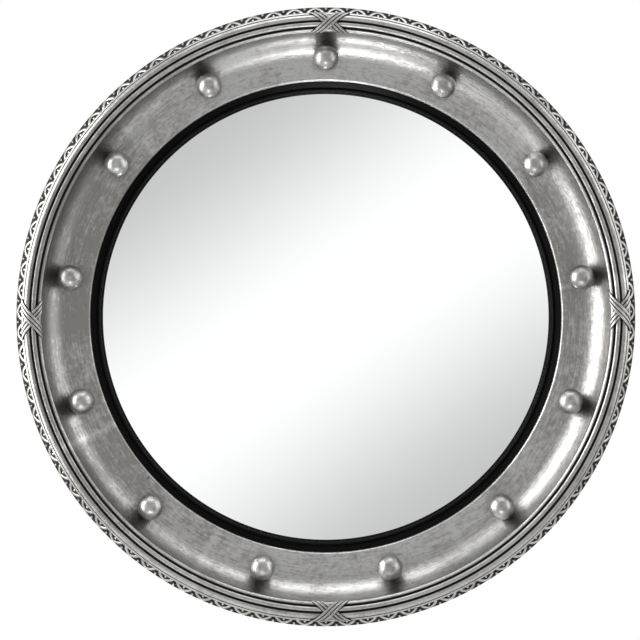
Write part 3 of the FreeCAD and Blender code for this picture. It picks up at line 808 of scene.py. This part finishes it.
# Ebonised ring: flat under the lip, slope, bead, and a seat that follows the glass.
def blackRing():
    size = slip
    outer = rebateOut - size["gap"]
    top = ring["roof"] - size["glue"]
    rim = glassRim + size["gap"]
    low = top - size["slopeDrop"]
    slopeEnd = lipIn - size["slopeWidth"]
    beadIn = slopeEnd - size["beadWidth"]
    edge = low - size["edgeRound"]
    seat = np.linspace(sight + 0.4, rim, 8)
    section, = withoutRepeats(np.concatenate([
        stretch((outer, size["foot"]), (outer, top), 4),
        stretch((outer, top), (lipIn + 1, top), 3),
        rounded((outer, top), (lipIn, top), (slopeEnd, low), 1.0, 6),
        rounded((lipIn, top), (slopeEnd, low), (beadIn, low + 1), 0.4, 5),
        arcThrough((slopeEnd - 0.4, low + 0.3), ((slopeEnd + beadIn) / 2, low + size["beadRise"]),
                   (beadIn + 0.1, low + 0.1), 14),
        rounded((beadIn, low), (sight, edge), (sight, edge - 2), 0.6, 5),
        stretch((sight, edge - 0.6), (sight, domeHeight(sight, size["gap"]) + 0.2), 3),
        np.stack([seat, domeHeight(seat, size["gap"])], 1),
        stretch((rim, domeHeight(rim, size["gap"]) - 0.4), (rim, size["foot"]), 4),
        stretch((rim, size["foot"]), (outer, size["foot"]), 3),
    ]))
    grid = carriedRound(section[:, :1], section[:, 1:], roundAngles(size["columns"]))
    thing = latticeMesh("blackRing", grid, True, (finishes["black"],))
    settle(thing, "ebonised_wood", "mirror", "black_slip")


# Domed mirror: silvered front from its middle to the ground rim, and the painted back.
def domedGlass():
    size = glass
    radii = np.concatenate([[2.0], np.linspace(6, glassRim - size["ground"], size["rows"])])
    backRadii = radii[::-4]
    edge = np.array([(glassRim, domeHeight(glassRim) - size["ground"]),
                     (glassRim, domeHeight(glassRim, -size["thickness"]) + size["ground"])])
    section = np.concatenate([np.stack([radii, domeHeight(radii)], 1), edge,
                              np.stack([backRadii, domeHeight(backRadii, -size["thickness"])], 1)])
    look = (np.arange(len(section)) >= len(radii) - 1).astype(int)
    grid = carriedRound(section[:, :1], section[:, 1:], roundAngles(size["columns"]))
    thing = latticeMesh("domedGlass", grid, False, (finishes["mirror"], finishes["backing"]), look)
    settle(thing, "mirror_glass", "mirror", "mirror_glass")


blackRing()
domedGlass()
print("glass set")


# Pieces of the back that keep their own shape get their finish by the start of their name.
fittings = {"backboard": "board", "glass_packing": "foam", "wall_pad": "rubber",
            "turn_button": "steel", "hanger": "steel"}
for name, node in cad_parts.items():
    for start, look in fittings.items():
        if name.startswith(start):
            for place in node.material_slots:
                place.material = finishes[look]
print("fittings finished")


studio = {
    "cameraDistance": 4.0, "crestHeight": 0.050, "pixel": 0.000984, "pixels": 640,
    "pixelsRight": 5.85, "pixelsDown": -3.15,      # of the mirror's centre in the picture
    "floorHeight": -0.5, "floorHalf": 1.0, "floorFront": -0.35, "floorBack": 0.9,
    "bandAcross": (0.566, -0.824), "bandEdges": (0.05, 0.62), "bandLight": 1.06, "bandFall": 0.50,
    "coneEdges": (0.60, 0.84), "diffuse": 0.6,
    "surroundings": 0.60, "sideways": -0.20, "upAndDown": 0.50,
    # clock angle, tilt off the line to the camera, distance, width, height, watts
    "lamps": {"leftWindow": (278, 82, 2.0, 1.8, 2.4, 130), "rightWindow": (76, 85, 2.4, 2.6, 2.6, 62),
              "lowWindow": (184, 47, 2.2, 0.7, 0.4, 13), "highWindow": (2, 82, 2.4, 2.4, 1.6, 34)},
}


# Square on and far off, moved sideways so that the mirror sits where the picture has it. The lens
# is the sensor's width times the distance to the crest over the width seen there.
def makeCamera():
    size = studio
    data = bpy.data.cameras.new("camera")
    camera = bpy.data.objects.new("camera", data)
    bpy.context.scene.collection.objects.link(camera)
    data.sensor_width = 36.0
    seen = size["pixel"] * size["pixels"]
    data.lens = data.sensor_width * (size["cameraDistance"] - size["crestHeight"]) / seen
    camera.location = (-size["pixelsRight"] * size["pixel"], -size["cameraDistance"],
                       size["pixelsDown"] * size["pixel"])
    camera.rotation_euler = (math.pi / 2, 0, 0)
    bpy.context.scene.camera = camera


# Soft lamp at a clock angle, tilted away from the line to the camera and aimed at the mirror.
def softLamp(name, clock, tilt, distance, width, height, watts):
    data = bpy.data.lights.new(name, "AREA")
    data.shape = "RECTANGLE"
    data.size, data.size_y, data.energy = width, height, watts
    lamp = bpy.data.objects.new(name, data)
    bpy.context.scene.collection.objects.link(lamp)
    clock, tilt = math.radians(clock), math.radians(tilt)
    away = Vector((math.sin(tilt) * math.sin(clock), -math.cos(tilt), math.sin(tilt) * math.cos(clock)))
    lamp.location = away * distance
    lamp.rotation_euler = away.to_track_quat("Z", "Y").to_euler()
    lamp.visible_camera = False


# A plain pale rectangle under the mirror, with its front edge where the dome doesn't reflect it.
def makeFloor():
    size = studio
    half, low = size["floorHalf"], size["floorHeight"]
    mesh = bpy.data.meshes.new("floor")
    mesh.from_pydata([(-half, size["floorFront"], low), (half, size["floorFront"], low),
                      (half, size["floorBack"], low), (-half, size["floorBack"], low)],
                     [], [(0, 1, 2, 3)])
    mesh.materials.append(newFinish("paleFloor").finish((0.8, 0.8, 0.79, 1), 0.9))
    floor = bpy.data.objects.new("floor", mesh)
    bpy.context.scene.collection.objects.link(floor)


# White for the camera. Reflections see a pale studio: bright along a slanting band through the
# line to the camera, falling off to both sides of the band and outside the cone round that line.
def makeWorld():
    size = studio
    recipe = Recipe(bpy.data.worlds.new("studio"))
    bpy.context.scene.world = recipe.holder
    x, y, z = recipe.parts(recipe.add("ShaderNodeTexCoord", {}, {}, "Generated"))
    across = x * size["bandAcross"][0] + z * size["bandAcross"][1]
    band = size["bandLight"] - across.mathOf("ABSOLUTE").between(*size["bandEdges"]) * size["bandFall"]
    cone = (0 - y).between(*size["coneEdges"])
    around = x * size["sideways"] + z.mathOf("ABSOLUTE") * size["upAndDown"] + size["surroundings"]
    glow = cone * (band - around) + around
    camera = recipe.add("ShaderNodeLightPath", {}, {}, "Is Camera Ray")
    shiny = (camera.other("Is Glossy Ray") + camera.other("Is Transmission Ray")).clipped()
    strength = camera + (1 - camera) * (shiny * glow + (1 - shiny) * size["diffuse"])
    light = recipe.add("ShaderNodeBackground", {}, {"Color": (1, 1, 1, 1), "Strength": strength})
    recipe.add("ShaderNodeOutputWorld", {}, {"Surface": light})


makeCamera()
makeFloor()
makeWorld()
for name, values in studio["lamps"].items():
    softLamp(name, *values)
bpy.context.scene.view_settings.view_transform = "Standard"
print("studio lit")
